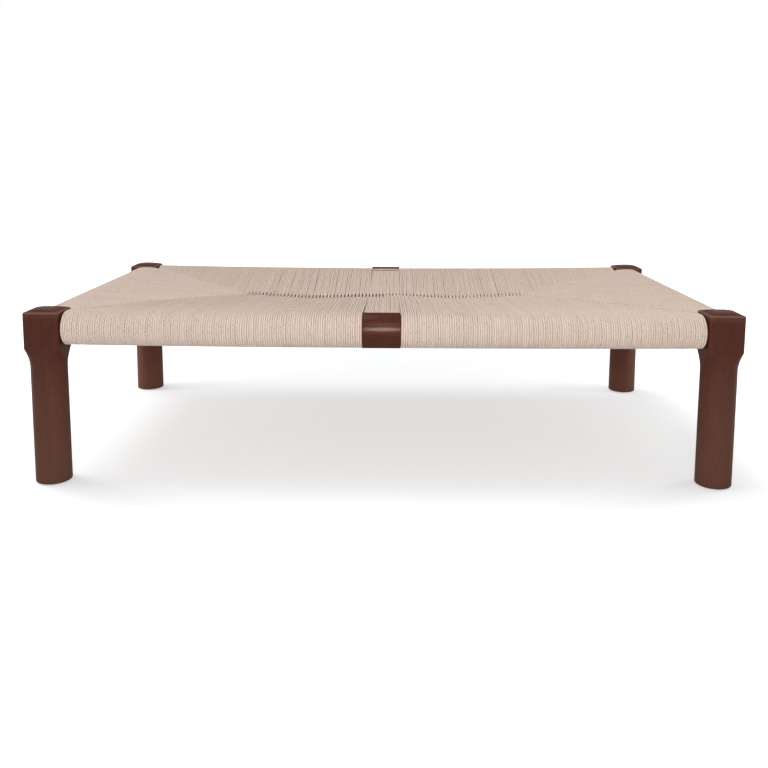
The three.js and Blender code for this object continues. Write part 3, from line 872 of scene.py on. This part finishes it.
# One short cord lies in each cap's rabbet, with its ends tucked down
edgeCord = {"endGap": 0.4, "endDip": 0.9, "dipLength": 5, "steps": 12, "loose": 0.1}
for side in ("front", "back"):
    inward, z = edgeCordPlace(side)
    end = capHalf - edgeCord["endGap"] * mm
    route = []
    for step in range(edgeCord["steps"] + 1):
        along = -end * math.cos(math.pi * step / edgeCord["steps"])
        dip = edgeCord["endDip"] * mm * smoothStep(abs(along), end - edgeCord["dipLength"] * mm, end)
        point = sidePoint(side, along + cap["shift"][side] * mm, inward + dip / 2, z - dip)
        route.append((point, edgeCord["loose"]))
    makeCords(f"{side}_cap_cord", side, [route], f"{side}_edge_cord", closed=False)
print("cords made")

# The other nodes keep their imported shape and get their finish
for name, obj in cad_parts.items():
    material = woods["Y"] if name.endswith("_rail") else steelMaterial
    if name.endswith("_glide"):
        material = nylonMaterial
    obj.data.materials.clear()
    obj.data.materials.append(material)


# Studio: a pale floor that stays white to the camera but keeps the table's shadow, under soft lamps. The
# two sheen lamps show in reflections only: they make the light band on the front cap.

studio = {  # metres here
    "floor": "#d5d7d9", "floorHalf": 30,
    # how bright the camera sees the floor near and far, between which distances, and the sky's light
    "glowNear": 0.43, "glowFar": 0.95, "glowFrom": (0.75, 1.5), "dome": 0.44,
    "sheenColour": (1.0, 0.84, 0.74),
    "lamps": {
        "key": {"at": (-1.7, 0.8, 5.4), "aim": (0, 0, 0.3), "angle": 32, "strength": 1.1},
        "front": {"at": (0.03, -2.4, 0.85), "aim": (0.03, -0.4, 0.33), "size": (0.6, 0.4), "watts": 19.5},
        "sheen": {"at": (0.03, -2.4, 0.85), "aim": (0.03, -0.4, 0.33), "size": (1.1, 0.6), "watts": 10.5,
                  "spread": 44},
        "sheenAbove": {"at": (0.03, -1.5, 1.45), "aim": (0.03, -0.4, 0.33), "size": (0.8, 0.5),
                       "watts": 1.0, "spread": 50},
        "left": {"at": (-1.75, 0.2, 0.3), "aim": (0, 0, 0.05), "size": (0.4, 0.3), "watts": 8},
        "right": {"at": (1.75, 0.2, 0.3), "aim": (0, 0, 0.05), "size": (0.4, 0.3), "watts": 6.5},
    },
}


def seenRay(tree):  # 1 for rays from the camera and for reflections
    rays = addNode(tree, "ShaderNodeLightPath")
    return out(addNode(tree, "ShaderNodeMath", {
        0: out(rays, "Is Camera Ray"), 1: out(rays, "Is Glossy Ray")}, operation="MAXIMUM"))


def makeFloor():
    half = studio["floorHalf"]
    mesh = bpy.data.meshes.new("studioFloor")
    mesh.from_pydata([(-half, -half, 0), (half, -half, 0), (half, half, 0), (-half, half, 0)], [],
                     [(0, 1, 2, 3)])
    material, tree = newMaterial("studioFloorPaint")
    place = out(addNode(tree, "ShaderNodeTexCoord"), "Object")
    away = addNode(tree, "ShaderNodeVectorMath", {0: place}, operation="LENGTH")
    glowAt = addNode(tree, "ShaderNodeMapRange", {
        "Value": out(away, "Value"), "From Min": studio["glowFrom"][0], "From Max": studio["glowFrom"][1],
        "To Min": studio["glowNear"], "To Max": studio["glowFar"]}, interpolation_type="SMOOTHSTEP")
    level = addNode(tree, "ShaderNodeMath", {0: seenRay(tree), 1: out(glowAt)}, operation="MULTIPLY")
    paint = addNode(tree, "ShaderNodeBsdfDiffuse", {"Color": linear(studio["floor"])})
    glow = addNode(tree, "ShaderNodeEmission", {"Strength": out(level)})
    both = addNode(tree, "ShaderNodeAddShader", {0: out(paint), 1: out(glow)})
    addNode(tree, "ShaderNodeOutputMaterial", {"Surface": out(both)})
    mesh.materials.append(material)
    floor = linkObject("studioFloor", mesh)


def makeWorld():
    world = bpy.data.worlds.new("studio")
    world.use_nodes = True
    tree = world.node_tree
    tree.nodes.clear()
    level = addNode(tree, "ShaderNodeMix", {
        "Factor": seenRay(tree), "A": studio["dome"], "B": 1.0}, data_type="FLOAT")
    sky = addNode(tree, "ShaderNodeBackground", {"Color": white, "Strength": out(level)})
    addNode(tree, "ShaderNodeOutputWorld", {"Surface": out(sky)})
    bpy.context.scene.world = world


def makeLamps():
    for name, spec in studio["lamps"].items():
        data = bpy.data.lights.new(name, "SUN" if "strength" in spec else "AREA")
        lamp = bpy.data.objects.new(name, data)
        if data.type == "SUN":
            data.angle = math.radians(spec["angle"])
            data.energy = spec["strength"]
        else:
            data.shape = "RECTANGLE"
            data.size, data.size_y = spec["size"]
            data.energy = spec["watts"]
        if "spread" in spec:
            data.spread = math.radians(spec["spread"])
            data.color = studio["sheenColour"]
            lamp.visible_diffuse = False
        ray = Vector(spec["aim"]) - Vector(spec["at"])
        lamp.location = spec["at"]
        lamp.rotation_euler = ray.to_track_quat("-Z", "Y").to_euler()
        bpy.context.scene.collection.objects.link(lamp)


camera = {  # as fitted to the photograph's view; angles in degrees
    "at": (21.0, -2127.1, 714.2), "pitch": 7.073, "yaw": -0.609, "roll": 0.179,
    "imageSize": 768, "focalPixels": 833.1, "centreRow": 257.85, "sensor": 36,
}


def makeCamera():
    pitch, yaw, roll = (math.radians(camera[k]) for k in ("pitch", "yaw", "roll"))
    forward = Vector((math.sin(yaw) * math.cos(pitch), math.cos(yaw) * math.cos(pitch), -math.sin(pitch)))
    level = Vector((math.cos(yaw), -math.sin(yaw), 0))
    plumb = level.cross(forward)
    right = level * math.cos(roll) + plumb * math.sin(roll)
    up = plumb * math.cos(roll) - level * math.sin(roll)
    data = bpy.data.cameras.new("camera")
    data.sensor_width = camera["sensor"]
    data.lens = camera["focalPixels"] / camera["imageSize"] * camera["sensor"]
    data.shift_y = (camera["centreRow"] - camera["imageSize"] / 2) / camera["imageSize"]
    obj = bpy.data.objects.new("camera", data)
    turn = Matrix((right, up, -forward)).transposed().to_4x4()
    obj.matrix_world = Matrix.Translation(Vector(camera["at"]) * mm) @ turn
    bpy.context.scene.collection.objects.link(obj)
    bpy.context.scene.camera = obj


makeFloor()
makeWorld()
makeLamps()
makeCamera()
bpy.context.scene.view_settings.view_transform = "Standard"
print("studio made")
